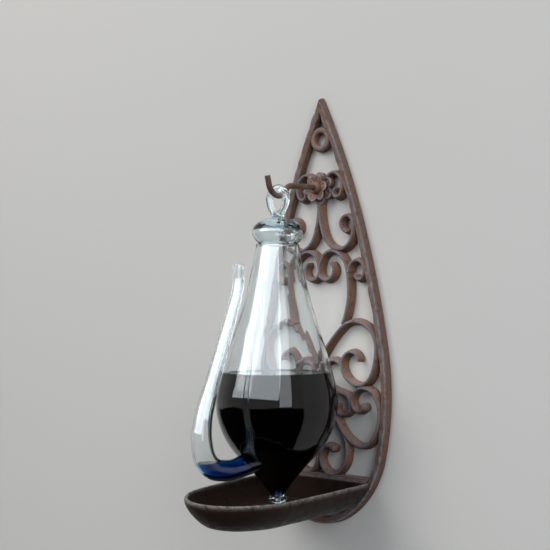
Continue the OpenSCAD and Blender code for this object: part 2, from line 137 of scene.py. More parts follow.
def rough_share(p, scale, seed):
    """Smooth noise from 0 to 1 at a point."""
    return 0.5 + 0.5 * rough(p, scale, seed)


# ---------------------------------------------------------------- meshes
@contextlib.contextmanager
def edited(me):
    """The mesh as a bmesh that is written back at the end."""
    bm = bmesh.new()
    bm.from_mesh(me)
    yield bm
    bm.to_mesh(me)
    bm.free()


def smooth(o, sharp=None):
    """Smooth shading, but for edges sharper than sharp degrees."""
    o.data.shade_smooth()
    if sharp:
        o.data.set_sharp_from_angle(angle=rad(sharp))


def mesh(name, verts, faces, wear_highlight_wet=None, sharp=42):
    """An object from points in millimetres. Its attribute says where iron is rubbed and painted with highlights and
    where glass is wet.
    """
    me = bpy.data.meshes.new(name)
    me.from_pydata([[c * MM for c in v] for v in verts], [], faces)
    a = me.attributes.new("wear_highlight_wet", "FLOAT", "POINT")
    a.data.foreach_set("value", wear_highlight_wet or [0.0] * len(verts))
    me.update()
    with edited(me) as bm:
        bmesh.ops.remove_doubles(bm, verts=bm.verts, dist=1e-7)
        bmesh.ops.recalc_face_normals(bm, faces=bm.faces)
    o = bpy.data.objects.new(name, me)
    bpy.context.collection.objects.link(o)
    smooth(o, sharp)
    return o


def skin(rings, closed=False, seam=True):
    """Faces round rings of equal length, with flat caps; closed joins the last ring to the first."""
    n, m = len(rings[0]), len(rings)
    faces = []
    for i in range(m if closed else m - 1):
        for j in range(n if seam else n - 1):
            k = (j + 1) % n
            b = (i + 1) % m
            faces.append((i * n + j, b * n + j, b * n + k, i * n + k))
    if not closed:
        faces += [tuple(range(n)), tuple((m - 1) * n + j for j in range(n - 1, -1, -1))]
    return [q for r in rings for q in r], faces


def mirrored(o, name):
    """The mirror image of a right piece, as an object of its own."""
    me = o.data.copy()
    me.transform(Matrix.Scale(-1, 4, (1, 0, 0)))
    me.flip_normals()
    p = bpy.data.objects.new(name, me)
    bpy.context.collection.objects.link(p)
    return p


def keep_right(o):
    """Cuts off what lies left of the middle, and a weld's half seam more."""
    half_seam = 0.04 * MM
    with edited(o.data) as bm:
        bmesh.ops.bisect_plane(bm, geom=bm.verts[:] + bm.edges[:] + bm.faces[:], plane_co=(half_seam, 0, 0),
                               plane_no=(1, 0, 0), clear_inner=True)
        bmesh.ops.holes_fill(bm, edges=[e for e in bm.edges if e.is_boundary])
    return o


def joined(o, other, how):
    """o with other added to it or cut from it, and other gone."""
    m = o.modifiers.new("j", "BOOLEAN")
    m.operation = how
    m.object = other
    m.solver = "EXACT"
    dg = bpy.context.evaluated_depsgraph_get()
    me = bpy.data.meshes.new_from_object(o.evaluated_get(dg))
    o.modifiers.clear()
    o.data = me
    bpy.data.objects.remove(other)
    return o


def lathe(name, profile, steps, wear_highlight_wet=None, axis="z", at=(0, 0, 0), sharp=42, shape=None, closed=True):
    """A turned piece from (radius, height) pairs; shape changes each point."""
    rings = []
    for k in range(steps):
        a = 2 * math.pi * k / steps
        row = []
        for r, h in profile:
            if shape:
                r, h = shape(r, h, a)
            c, s = r * math.cos(a), r * math.sin(a)
            row.append((at[0] + c, at[1] + s, at[2] + h) if axis == "z" else (at[0] + c, at[1] - h, at[2] + s))
        rings.append(row)
    verts, faces = skin(rings, True, closed)
    o = mesh(name, verts, faces, (wear_highlight_wet or [0.0] * len(profile)) * steps, sharp)
    with edited(o.data) as bm:
        bmesh.ops.remove_doubles(bm, verts=bm.verts, dist=2e-6)
        bmesh.ops.dissolve_degenerate(bm, dist=1e-7, edges=bm.edges)
    smooth(o, sharp)
    return o


def slab(name, edge, low, high, bevel, axis):
    """A flat plate with worn edges that are painted as highlights; its edge is in x and z when the axis is y, and in x
    and y when it is z.
    """
    n = len(edge)
    verts = [((x, at, y) if axis == "y" else (x, y, at)) for at in (low, high) for x, y in edge]
    faces = [tuple(range(n)), tuple(range(2 * n - 1, n - 1, -1))]
    faces += [(j, (j + 1) % n, n + (j + 1) % n, n + j) for j in range(n)]
    o = mesh(name, verts, faces)
    with edited(o.data) as bm:
        edges = [e for e in bm.edges if e.calc_face_angle(0) > rad(30)]
        rounded = bmesh.ops.bevel(bm, geom=edges, offset=bevel * MM, segments=3, affect="EDGES", profile=0.6)
        wear_highlight_wet = bm.verts.layers.float["wear_highlight_wet"]
        for f in rounded["faces"]:
            for v in f.verts:
                v[wear_highlight_wet] = 0.4
        bmesh.ops.recalc_face_normals(bm, faces=bm.faces)
    smooth(o, 35)
    return o


def tube_rings(pts, less, sides, base, wob=0.0, seed=0.0):
    """Rings round points in the middle plane, as distance from the wall and height; less is off the radius."""
    rings = []
    for d, z, h, r in pts:
        row = []
        for k in range(sides):
            a = 2 * math.pi * k / sides
            n, x = math.cos(a), math.sin(a)
            rr = (r - less) * (1 + wob * (rough((x * 4, d + n * 4, z), 6.0, seed) - 0.5))
            row.append((rr * x, -(base[0] + d - rr * n * math.sin(rad(h))),
                        base[1] + z + rr * n * math.cos(rad(h))))
        rings.append(row)
    return rings


# ---------------------------------------------------------------- materials
def srgb(h):
    """The linear colour of a #rrggbb text."""
    v = [int(h[i:i + 2], 16) / 255 for i in (1, 3, 5)]
    return tuple((c / 12.92 if c <= 0.04045 else ((c + 0.055) / 1.055) ** 2.4) for c in v) + (1.0,)


def nodes_of(name):
    m = bpy.data.materials.new(name)
    m.use_nodes = True
    return m, m.node_tree, m.node_tree.nodes["Principled BSDF"]


def set_in(tree, sock, v):
    """Links v to the socket, or sets the socket's value to it."""
    if isinstance(v, bpy.types.NodeSocket):
        tree.links.new(v, sock)
    else:
        sock.default_value = v


def put(tree, kind, sets=(), **inputs):
    """A node of that kind with its settings and its inputs, by name or as i and the number."""
    n = tree.nodes.new(kind)
    for k, v in dict(sets).items():
        setattr(n, k, v)
    for k, v in inputs.items():
        sock = n.inputs[int(k[1:])] if k[0] == "i" and k[1:].isdigit() else n.inputs[k.replace("_", " ")]
        set_in(tree, sock, v)
    return n


def ramp(tree, fac, stops):
    """Stops of (place, colour or grey value)."""
    n = tree.nodes.new("ShaderNodeValToRGB")
    tree.links.new(fac, n.inputs[0])
    e = n.color_ramp.elements
    while len(e) < len(stops):
        e.new(0.5)
    for k, (at, c) in enumerate(stops):
        e[k].position = at
        e[k].color = c if isinstance(c, tuple) else (c, c, c, 1)
    return n.outputs[0]


def mix(tree, fac, a, b):
    """Colour a, and b where fac is 1."""
    n = tree.nodes.new("ShaderNodeMix")
    n.data_type = "RGBA"
    n.clamp_factor = True
    for sock, v in ((n.inputs[0], fac), (n.inputs[6], a), (n.inputs[7], b)):
        set_in(tree, sock, v)
    return n.outputs[2]


def calc(tree, how, a, b):
    return put(tree, "ShaderNodeMath", {"operation": how}, i0=a, i1=b).outputs[0]


def share(tree, v):
    """A value from -1 to 1, laid on 0 to 1."""
    return put(tree, "ShaderNodeMapRange", i0=v, i1=-1.0, i2=1.0, i3=0.0, i4=1.0).outputs[0]


def noise_tex(tree, at, scale, detail, roughness=0.55, lift=(1, 1, 1)):
    m = put(tree, "ShaderNodeMapping", Vector=at, Scale=lift)
    return put(tree, "ShaderNodeTexNoise", Vector=m.outputs[0], Scale=scale, Detail=detail,
               Roughness=roughness).outputs[0]


def bump(tree, strength, distance, height, under=None):
    n = put(tree, "ShaderNodeBump", Strength=strength, Distance=distance, Height=height)
    if under is not None:
        tree.links.new(under, n.inputs["Normal"])
    return n.outputs[0]


def wear_of(tree):
    return put(tree, "ShaderNodeAttribute", {"attribute_name": "wear_highlight_wet"}).outputs["Fac"]


def place_of(tree):
    return put(tree, "ShaderNodeTexCoord").outputs["Object"]


def by_wet(tree, dry, wet):
    """Makes the surface wet where the attribute says so, and dry elsewhere."""
    both = put(tree, "ShaderNodeMixShader", i0=ramp(tree, wear_of(tree), [(0.45, 0.0), (0.55, 1.0)]),
               i1=dry.outputs[0], i2=wet.outputs[0])
    tree.links.new(both.outputs[0], tree.nodes["Material Output"].inputs["Surface"])


def absorb(tree, tint, density):
    v = put(tree, "ShaderNodeVolumeAbsorption", Color=tint, Density=density)
    tree.links.new(v.outputs[0], tree.nodes["Material Output"].inputs["Volume"])


def iron(name, colours, grain=1.0, gloss=0.62, shine=0.4):
    """Old iron: a mauve grey face with rust and dark patches, painted shade on its sides and underside, painted light
    on top, and edges rubbed bare and painted as highlights.
    """
    m, t, b = nodes_of(name)
    face, rust_and_side_shade, dark_patch_and_under_shade, painted_top_light, edge = (srgb(c) for c in colours)
    at = place_of(t)
    wide = noise_tex(t, at, 55, 5)
    mid = noise_tex(t, at, 240, 6, 0.6)
    fine = noise_tex(t, at, 1100, 3, 0.6)
    spots = put(t, "ShaderNodeTexVoronoi", Vector=at, Scale=620.0).outputs[0]
    way = put(t, "ShaderNodeSeparateXYZ", Vector=put(t, "ShaderNodeNewGeometry").outputs["Normal"])
    front = calc(t, "MULTIPLY", way.outputs[1], -1.0)
    level = share(t, way.outputs[2])
    tone = face
    for by, stops, colour in ((wide, [(0.38, 0.0), (0.64, 1.0)], rust_and_side_shade),
                              # painted shade: faces turned away from the front take the rust brown
                              (front, [(0.15, 0.75), (0.8, 0.0)], rust_and_side_shade),
                              # painted light: faces that look up turn lighter
                              (level, [(0.52, 0.0), (0.95, 0.8)], painted_top_light),
                              # painted shade: faces that look down turn dark
                              (level, [(0.05, 0.85), (0.46, 0.0)], dark_patch_and_under_shade),
                              (mid, [(0.30, 0.7), (0.44, 0.0)], dark_patch_and_under_shade),
                              (fine, [(0.34, 0.55), (0.60, 0.0)], dark_patch_and_under_shade)):
        tone = mix(t, ramp(t, by, stops), tone, colour)
    patchy = calc(t, "MULTIPLY", ramp(t, fine, [(0.38, 0.35), (0.56, 1.0)]), ramp(t, mid, [(0.36, 0.30), (0.54, 1.0)]))
    # edges rubbed bare in patches, which also stand in as painted highlights in the edge colour
    rubbed_and_highlit = calc(t, "MULTIPLY", wear_of(t), patchy)
    t.links.new(mix(t, rubbed_and_highlit, tone, edge), b.inputs["Base Color"])
    t.links.new(ramp(t, mid, [(0.3, gloss + 0.16), (0.7, gloss - 0.1)]), b.inputs["Roughness"])
    b.inputs["Metallic"].default_value = 0.0
    b.inputs["Specular IOR Level"].default_value = shine
    pits = ramp(t, spots, [(0.05, 0.0), (0.35, 1.0)])
    relief = None
    for strength, distance, height in ((0.35, 0.0005, mid), (0.35, 0.00025, fine), (0.22, 0.0002, pits)):
        relief = bump(t, strength * grain, distance, height, relief)
    t.links.new(relief, b.inputs["Normal"])
    return m


# colours of the face, the rust that also paints shade on the sides, the dark patches that also paint shade below, the
# painted light on top, and the rubbed edges that also paint highlights
bar_iron = iron("old_bar_iron", ("#8c756d", "#94694f", "#452e23", "#a38880", "#626d7c"))
frame_iron = iron("old_frame_iron", ("#74625d", "#7f5a44", "#3c2c25", "#8a746b", "#7b8593"))
flower_iron = iron("old_flower_iron", ("#8a6e63", "#87604b", "#422c22", "#9c7d70", "#979aa0"), grain=1.2)
rod_iron = iron("hook_iron", ("#6e5141", "#6d4b38", "#382a21", "#7c5e4e", "#817a75"), grain=0.55, gloss=0.42)
tray_iron = iron("tray_iron", ("#291d17", "#33221a", "#17110e", "#34251d", "#99928c"), grain=0.8, gloss=0.46,
                 shine=0.14)

GLASS_IOR, WATER_IOR = 1.47, 1.333
WETTING_IOR = 1.01  # of water against glass, which bends light hardly further


def make_clear(b, ior):
    """Makes a Principled node clear and quite smooth."""
    b.inputs["Transmission Weight"].default_value = 1.0
    b.inputs["Roughness"].default_value = 0.0
    b.inputs["IOR"].default_value = ior


def blown_glass(name, tint, density, streaks, lumps=0.0):
    """Hand blown glass: streaks along its draw, lumps, and a cold tint where it is thick; nothing shows where wet."""
    m, t, b = nodes_of(name)
    at = place_of(t)
    make_clear(b, GLASS_IOR)
    haze = ramp(t, noise_tex(t, at, 90, 4), [(0.45, 0.0), (0.8, 0.12)])
    t.links.new(mix(t, haze, (0.97, 0.99, 1, 1), (0.86, 0.92, 0.95, 1)), b.inputs["Base Color"])
    streaky = bump(t, streaks, 0.0011, noise_tex(t, at, 85, 2, 0.5, (1, 1, 0.08)))
    lumpy = bump(t, lumps, 0.0015, noise_tex(t, at, 130, 2, 0.5), streaky)
    t.links.new(lumpy, b.inputs["Normal"])
    absorb(t, tint, density)
    by_wet(t, b, put(t, "ShaderNodeBsdfTransparent"))
    return m


def dyed_water(name):
    """Blue dyed water, almost black where it is deep."""
    m, t, b = nodes_of(name)
    at = place_of(t)
    cloud = ramp(t, noise_tex(t, at, 60, 3), [(0.4, 0.0), (0.7, 1.0)])
    tint = mix(t, cloud, (0.80, 0.93, 1, 1), (0.72, 0.88, 1, 1))
    wave = bump(t, 0.05, 0.0005, noise_tex(t, at, 45, 1))
    by_glass = t.nodes.new("ShaderNodeBsdfPrincipled")
    for n, ior in ((b, WATER_IOR), (by_glass, WETTING_IOR)):
        make_clear(n, ior)
        t.links.new(tint, n.inputs["Base Color"])
        t.links.new(wave, n.inputs["Normal"])
    absorb(t, (0.04, 0.60, 0.81, 1), 620.0)
    by_wet(t, b, by_glass)
    return m


blown = blown_glass("blown_glass", (0.30, 0.86, 1.0, 1), 14.0, 0.38)
thick = blown_glass("thick_glass", (0.22, 0.80, 1.0, 1), 26.0, 0.15, 0.30)
tube_glass = blown_glass("drawn_glass", (0.30, 0.86, 1.0, 1), 14.0, 0.12)
GLASSES = (blown, thick, tube_glass)
water_blue = dyed_water("dyed_water")

made = []


def piece(o, body, slot, mat, *stands_for):
    """Gives a piece its material and its body, and hides the CAD nodes that it stands for."""
    o.data.materials.clear()
    o.data.materials.append(mat)
    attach(o, body)
    if stands_for:
        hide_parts(*stands_for)
    made.append(o)
    return o


# ---------------------------------------------------------------- the bracket's bars
# The bars narrow to a ridge at the front, as cast iron does. A section's points are across, away from the wall,
# and wear with a painted highlight along the ridge: BAR in shares of half the width and of the depth, FRAME in
# millimetres.
BAR_W, BAR_D = 5.5, 7.6
BAR = [(-0.97, 0.0, 0), (-1, 0.03, 0), (-0.93, 0.22, 0), (-0.80, 0.45, 0), (-0.62, 0.70, 0), (-0.44, 0.88, 0.0),
       (-0.34, 0.945, 0.6), (-0.24, 0.985, 1.0), (-0.12, 1.0, 0.9), (0, 1.0, 0.8)]
BAR += [(-u, v, w) for u, v, w in BAR[-2::-1]]
FRAME = [(-4.7, 0, 0), (-4.8, 0.3, 0), (-4.8, 3.2, 0), (-4.75, 6.1, 0.1), (-4.5, 7.1, 0.45), (-4.0, 7.55, 0.2),
         (-2.8, 7.7, 0.0), (-1.7, 7.7, 0.0), (-1.0, 7.85, 0.4), (-0.5, 7.95, 1.0), (-0.05, 7.8, 1.0), (0.25, 7.3, 0.5),
         (0.5, 6.3, 0.05), (0.8, 4.6, 0), (1.05, 2.4, 0), (1.2, 0.3, 0), (1.1, 0, 0)]
STEP = 0.9
# the right side's bars: start, heading and bends of (radius, sweep)
BARS = {
    "frame_bar": ((-3.5, 75.6), -63.2, [(620.5, -9.9), (771.2, -7.6), (214.6, -21.9), (71.8, -42.2), (50.2, -38.6)]),
    "upper_curl": ((8.3, 8.8), 54.4, [(6.2, -85.8), (11.3, -52.7), (12, -40.8), (3.5, -93.8), (3.3, -92.8)]),
    "lyre_scroll": ((0.36, -10.4), -93.8, [(57, 26.3), (17.8, 59.4), (11.5, 72.9), (20.3, 38.3), (5.9, 78.5),
                                           (5.4, 102), (6.9, 56)]),
    "fork_scroll": ((21.8, -103.7), 59.1, [(46.4, 26.3), (63.7, 19.8), (17.5, 59), (10.1, 71.3), (18.1, 33.5),
                                           (7, 67.7), (7.2, 76.6), (6.5, 82.8)]),
    "stem_curl": ((28.6, -65.3), 100.2, [(7.3, -100.8), (6.9, -91.4), (9.7, -41.9), (3.2, -115)]),
    "big_spiral": ((-0.05, -134.2), 61.9, [(95.8, -21), (17.7, -72), (21.2, -54.8), (40.6, -30), (13, -74.6),
                                           (16.2, -63.9), (10.3, -71.4), (7.1, -106)]),
    "inner_scroll": ((22.1, -137.5), 117, [(10.2, 134.2), (11.3, 85.1), (70.6, 12), (8, -125.9), (7.9, -68.3),
                                           (4.4, -80)]),
    "lower_spiral": ((-0.6, -158.2), -34.4, [(62, -27.9), (31.3, 39.7), (12.3, 74.6), (34.1, 29.1), (23.5, 43.5),
                                             (12.7, 62.1), (10.7, 68.9), (7.4, 82), (4.6, 96)]),
    "bottom_spiral": ((24.6, -190.1), -66, [(24.5, -39.5), (18.5, -45.7), (9.6, -68.5), (13.1, -45), (10.9, -46.8),
                                            (6.2, -91.3)]),
}
BUTTONS = {"lower_spiral": 3.4, "bottom_spiral": 3.2}
# where two bars touch, each is drawn to the other: near x and z, by x and z, over a reach
TOUCH = {
    "lyre_scroll": [(15.5, -46.1, -0.20, -0.75, 14)],
    "fork_scroll": [(14.6, -49.7, 0.20, 0.75, 14), (21.8, -103.7, 0.55, -0.71, 8)],
    "lower_spiral": [(39.9, -153.1, -0.13, 0.72, 14)],
    "big_spiral": [(39.2, -149.5, 0.13, -0.72, 14), (52.4, -119.8, 0.58, 0.08, 22)],
}
# how uneven the bars are: the reach, and the most it takes off the width and off the depth
WAVE_LONG, WAVE_WIDE, WAVE_DEEP = 7.0, 0.030, 0.035
DENT_LONG, DENT_WIDE, DENT_DEEP = 2.4, 0.018, 0.012
# a scroll slims over its last stretch, and its depth by a share of that; its tip is a quarter turn
SLIM, SLIM_LONG, SLIM_DEEP = 0.10, 24, 0.35
TIP_TURNS = (14, 28, 42, 56, 68, 78, 86)
TIP_DEEP = 0.10


def drawn(pts, touches):
    """The line with its touching places drawn over."""
    out = []
    for x, z, h in pts:
        pulls = [(by_x, by_z, math.exp(-((x - at_x) ** 2 + (z - at_z) ** 2) / reach ** 2))
                 for at_x, at_z, by_x, by_z, reach in touches]
        out.append((x + sum(a * w for a, _, w in pulls), z + sum(b * w for _, b, w in pulls), h))
    return out


def swept(name, pts, section, wide, deep, seed, tip=True, slim_by=0.0):
    """A bar with that section along the points, on the wall, with a round tip."""
    rings, wear_highlight_wet = [], []

    def ring(q, grow, high):
        row = []
        for u, v, w in section:
            p = aside(q, u * wide * grow)
            wave = rough_share((p[0], v * 9, p[1]), WAVE_LONG, seed)
            dent = rough_share((p[0], v * 9, p[1]), DENT_LONG, seed + 9)
            p = aside(q, u * wide * grow * (1 - WAVE_WIDE * wave - DENT_WIDE * dent))
            row.append((p[0], -v * deep * high * (1 - WAVE_DEEP * wave * v - DENT_DEEP * dent), p[1]))
            wear_highlight_wet.append(w)
        rings.append(row)

    for i, q in enumerate(pts):
        left = (len(pts) - 1 - i) * STEP
        slim = 1 - slim_by * max(0, 1 - left / SLIM_LONG)
        ring(q, slim, 1.0 - SLIM_DEEP * (1 - slim))
    if tip:
        q, slim = pts[-1], 1 - slim_by
        for a in TIP_TURNS:
            e = ahead(q, wide * slim * math.sin(rad(a))) + (q[2],)
            ring(e, slim * math.cos(rad(a)), (1.0 - SLIM_DEEP * (1 - slim)) * (1 - TIP_DEEP * (1 - math.cos(rad(a)))))
    verts, faces = skin(rings)
    return mesh(name, verts, faces, wear_highlight_wet)


def button(line, r):
    """The round button at a scroll's eye, as deep as the bar."""
    x, z, _ = walk(*line, 1.0)[-1]
    shape = [(0, 0), (1, 0), (1, 0.55), (0.93, 0.75), (0.72, 0.9), (0.4, 0.975), (0, 0.995)]
    # its front rim is rubbed and painted as a highlight
    return lathe("button", [(r * u, BAR_D * v) for u, v in shape], 40, [0, 0, 0.1, 0.7, 0.5, 0, 0], "y", (x, 0, z))


for k, (node, line) in enumerate(BARS.items()):
    run = drawn(walk(*line, STEP), TOUCH.get(node, ()))
    name = node + "_right_forged"
    if node == "frame_bar":
        bar = swept(name, run, FRAME, 1, 1, 3.0, tip=False)
    elif node in BUTTONS:
        bar = swept(name, run, BAR, BAR_W / 2, BAR_D, k + 4.0)
        bar = joined(bar, button(line, BUTTONS[node]), "UNION")
        smooth(bar, 42)
    else:
        bar = swept(name, run, BAR, BAR_W / 2, BAR_D, k + 4.0, slim_by=SLIM)
    keep_right(bar)
    left_bar = mirrored(bar, name.replace("_right", "_left"))
    for o, side in ((bar, "right"), (left_bar, "left")):
        piece(o, "bracket", "iron_bar", frame_iron if node == "frame_bar" else bar_iron, node + "_" + side)

RING_Z = 38.4
# its front corners are rubbed and painted as highlights
ring = lathe("hanging_ring_forged", [(5, 0.05), (9.4, 0.05), (9.6, 0.4), (9.6, 3.8), (9.3, 4.9), (8.4, 5.8),
                                     (7.3, 5.98), (6.2, 5.9), (5.3, 5.4), (5.0, 4.6)],
             72, [0, 0, 0, 0, 0.9, 0.5, 0, 0.3, 0.9, 0], "y", (0, 0, RING_Z))
piece(ring, "bracket", "iron_bar", bar_iron, "hanging_ring")

# the cross bar behind the tray's rim reaches from frame bar to frame bar
CROSS_TOP, CROSS_TALL = -218.156, 5
cross_half = outline(walk(*BARS["frame_bar"], STEP), -4.9, CROSS_TOP - CROSS_TALL, CROSS_TOP)
cross = slab("cross_bar_forged", whole(cross_half), -0.04, -7.5, 0.7, "y")
piece(cross, "bracket", "iron_bar", bar_iron, "cross_bar")

# ---------------------------------------------------------------- rosette
PETAL_HOLE = 1.2
SIXTH = math.pi / 3
# the underside of the petals, as shares of the way out and of the thickness
FLAT_UNDER = [(1.0, 0.16), (0.94, 0.06), (0.8, 0.0), (0.5, 0.0), (0.0, 0.0)]
CURLED_UNDER = [(1.0, 0.34), (0.94, 0.22), (0.8, 0.10), (0.5, 0.0), (0.0, 0.0)]


def flower(name, reach, low, thickness, turn, cup, seed, under, follow):
    """Six cupped petals with a rib in each and a crease between them.

    The turn is in radians, and follow is how far the underside is cupped too.
    """
    steps, across = 240, 26
    rings, wear_highlight_wet = [], []
    for k in range(steps):
        a = 2 * math.pi * k / steps
        ph = ((a + math.pi / 6 - turn) % SIXTH) - math.pi / 6
        tip = max(0.0, math.cos(3 * ph)) ** 0.95
        edge = 1 + 0.03 * rough((math.cos(a) * 9, math.sin(a) * 9, seed), 5, seed)
        r_out = reach * (0.70 + 0.30 * tip) * edge
        row = []
        for j in range(across + 1):
            t = j / across
            r = PETAL_HOLE + (r_out - PETAL_HOLE) * t
            rib = math.exp(-(ph * r / 0.9) ** 2)
            crease = math.exp(-((abs(ph) - math.pi / 6) * r / 0.8) ** 2)
            h = 0.50 + cup * t ** 2.2 + 0.08 * math.sin(math.pi * t) + 0.10 * rib * math.sin(math.pi * min(1, t * 1.1))
            h -= 0.30 * crease * t * (1 - 0.5 * t)
            h += 0.035 * rough((r * math.cos(a), r * math.sin(a), seed), 2.2, seed + 3)
            if t > 0.93:
                h -= 0.10 * ((t - 0.93) / 0.07) ** 2
            row.append((r * math.cos(a), -(low + thickness * min(1.0, max(0.05, h))), r * math.sin(a)))
            # the rim and the ribs are rubbed and painted as highlights
            wear_highlight_wet.append(1.0 if 0.86 < t <= 0.97 else (0.45 * rib * t if t < 0.9 else 0.2))
        for t, h in under:
            r = PETAL_HOLE + (r_out - PETAL_HOLE) * t
            row.append((r * math.cos(a), -(low + thickness * (h + cup * t ** 2.2 * follow)), r * math.sin(a)))
            wear_highlight_wet.append(0.0)
        rings.append(row)
    verts, faces = skin(rings, True)
    return mesh(name, verts, faces, wear_highlight_wet, 50)


back_flower = flower("rosette_back_forged", 12.95, 0.05, 7.15, math.pi / 6, 0.42, 5.0, FLAT_UNDER, 0.0)
piece(back_flower, "bracket", "iron_rosette", flower_iron, "rosette_back")
front_flower = flower("rosette_front_forged", 11.0, 7.3, 4.2, 0.12, 0.50, 8.0, CURLED_UNDER, 0.7)
# the boss's front rim is rubbed and painted as a highlight
boss = lathe("boss", [(0.9, 8), (4.6, 8), (4.6, 11.2), (4.35, 12.6), (3.7, 13.5), (2.9, 13.65), (2.3, 13.4),
                      (0.9, 13.3)], 48, [0, 0, 0, 0.8, 0.6, 0.2, 0, 0], "y")
front_flower = joined(front_flower, boss, "UNION")
smooth(front_flower, 50)
piece(front_flower, "bracket", "iron_rosette", flower_iron, "rosette_front")

# ---------------------------------------------------------------- hook
ROD, ROD_SIDES = 2.2, 28
# the joint: how far out the glass hangs, and the height that its pieces are drawn from
SADDLE, GLASS_Z = 53.8292, -47.0794
ARM_BEND, ARM_FALL = 40, 5.4
DIP_BEND, DIP_TURN, DIP_FALL = 8, 52.6, 58
LOW_LEN, LOW_BEND, TIP_TURN = 0.9, 10, 133
arm_a = bend_end((13.8, 0), 0, ARM_BEND, -ARM_FALL)
dip_a = bend_end((0, 0), -ARM_FALL, DIP_BEND, -DIP_TURN)
low_a = bend_end(ahead((0, 0, -DIP_FALL), LOW_LEN), -DIP_FALL, LOW_BEND, DIP_FALL)
arm_len = (SADDLE - arm_a[0] - dip_a[0] - low_a[0]) / math.cos(rad(ARM_FALL))
hook_line = track((2.0, 0), 0, [(11.8, ROD, ARM_BEND, -ARM_FALL), (arm_len, ROD, DIP_BEND, -DIP_TURN),
                                (LOW_LEN, ROD, LOW_BEND, TIP_TURN), (6, ROD * 0.96, 0, 0)], ROD, 0.5)
rings = tube_rings(hook_line, 0.03, ROD_SIDES, (0, 0), 0.04, 2.0)
tip = hook_line[-1]
# the rounded end, with a hollow in its middle: how far on, and the share of the radius
HOOK_END = ((-0.2, 0.97), (-0.08, 0.9), (0.0, 0.76), (0.0, 0.62), (-0.55, 0.5), (-0.8, 0.25), (-0.85, 0.02))
for along, r in HOOK_END:
    rings += tube_rings([ahead(tip, along) + (tip[2], ROD * 0.96 * r)], 0.0, ROD_SIDES, (0, 0))
hook_wear = []
for i, row in enumerate(rings):
    d = -sum(q[1] for q in row) / len(row)
    by_glass = max(0.0, 1 - abs(d - SADDLE) / 7)
    on_arm = max(0.0, 1 - abs(d - 24) / 9)
    at_end = 0.5 if i > len(rings) - 9 else 0
    hook_wear += [min(1.0, 0.75 * by_glass + 0.55 * on_arm + at_end)] * ROD_SIDES
verts, faces = skin(rings)
piece(mesh("hook_forged", verts, faces, hook_wear, 60), "bracket", "iron_hook", rod_iron, "hook")

# ---------------------------------------------------------------- the drip tray
TRAY_Z, TRAY_W, TRAY_BACK = -221.956, 95.4, -8.15
SIDE_BEND, SIDE_TURN = 740, 6
CORNER_BEND, CORNER_TURN = 51.2, 48
nose_head = SIDE_TURN + CORNER_TURN
nose_bend = (TRAY_W / 2 - SIDE_BEND * (1 - math.cos(rad(SIDE_TURN)))
             - CORNER_BEND * (math.cos(rad(SIDE_TURN)) - math.cos(rad(nose_head)))) / math.cos(rad(nose_head))
tray_line = walk((TRAY_W / 2, TRAY_BACK), -90,
                 [(SIDE_BEND, -SIDE_TURN), (CORNER_BEND, -CORNER_TURN), (nose_bend, nose_head - 90)], 1.5)
# the wall's section, from the floor over the rim to the underside: across, up from the rim, and wear, which paints a
# highlight along the rim;
# its outer face starts at point OUTSIDE
TRAY_WALL = [(-18.5, -17.4, 0), (-17, -17.38, 0), (-14.6, -16.6, 0), (-11.8, -14.7, 0), (-9.4, -12.2, 0),
             (-6.9, -9.3, 0), (-4.7, -6.5, 0), (-3.2, -4.0, 0), (-2.6, -2.2, 0.1), (-2.5, -0.8, 0.5),
             (-2.1, -0.15, 0.9), (-1.3, 0.0, 1.0), (-0.4, -0.1, 1.0), (0, -0.7, 0.7), (0, -2.0, 0.2), (-0.25, -3.6, 0),
             (-1.5, -6.4, 0), (-3.6, -9.7, 0), (-6.8, -13.5, 0), (-10.2, -16.8, 0.1), (-13.2, -18.9, 0.3),
             (-16.4, -19.9, 0.2), (-18.5, -20.0, 0)]
OUTSIDE = 12
rings, wear_highlight_wet = [], []
for side, line in ((1, tray_line), (-1, tray_line[-2::-1])):
    for q in line:
        row = []
        for u, v, w in TRAY_WALL:
            x, y = aside(q, u)
            wave = rough_share((side * x, y, v), 16, 2.2)
            dent = rough_share((side * x, y, v), 4, 7.7)
            row.append((side * x * (1 - 0.004 * wave), y + 0.25 * dent, TRAY_Z + v - 0.25 * wave))
            wear_highlight_wet.append(w)
        rings.append(row)
verts, faces = skin(rings)
bowl = mesh("tray_forged", verts, faces, wear_highlight_wet, 50)
floor_edge = whole([aside(q, -18) for q in tray_line], on_axis=1)
floor = slab("tray_floor", floor_edge, TRAY_Z - 19.97, TRAY_Z - 17.55, 0.3, "z")
plate_half = [(TRAY_W / 2 - 0.3 + u, TRAY_Z + v - 0.1) for u, v, _ in TRAY_WALL[OUTSIDE:]]
plate = slab("tray_plate", whole(plate_half), TRAY_BACK, TRAY_BACK - 2.45, 0.5, "y")
tray = joined(joined(bowl, floor, "UNION"), plate, "UNION")
smooth(tray, 50)
piece(tray, "bracket", "iron_tray", tray_iron, "tray")

# ---------------------------------------------------------------- blown glass
# heights are from GLASS_Z, where the flask's neck ends
HUNG = (0, -SADDLE, GLASS_Z)
FLASK = ((15.5, 0), -81, [(379.1, 9.7), (562, -4.1), (51.9, -31.7), (60.4, -28), (157.6, 12.7)])
COLLAR = ((5, 19.4), -23, [(55.7, -13.9), (5.2, -78.5), (20.9, -21.1)])
NECK_IN = 11.972
FLASK_WALL, COLLAR_WALL, SPOUT_WALL = 2.0, 2.6, 1.4
LEVEL, SPOUT_LEVEL = -93.0, -148.4
flask_line = walk(*FLASK, 1.4)
collar_line = walk(*COLLAR, 0.6)
tip_r, tip_z = flask_line[-1][0], flask_line[-1][1]


def turned(name, profile, steps=128, sharp=60, shape=None, wear_highlight_wet=None):
    """A turned piece of the glass, from the middle to the middle."""
    return lathe(name, profile, steps, wear_highlight_wet, at=HUNG, sharp=sharp, shape=shape, closed=False)


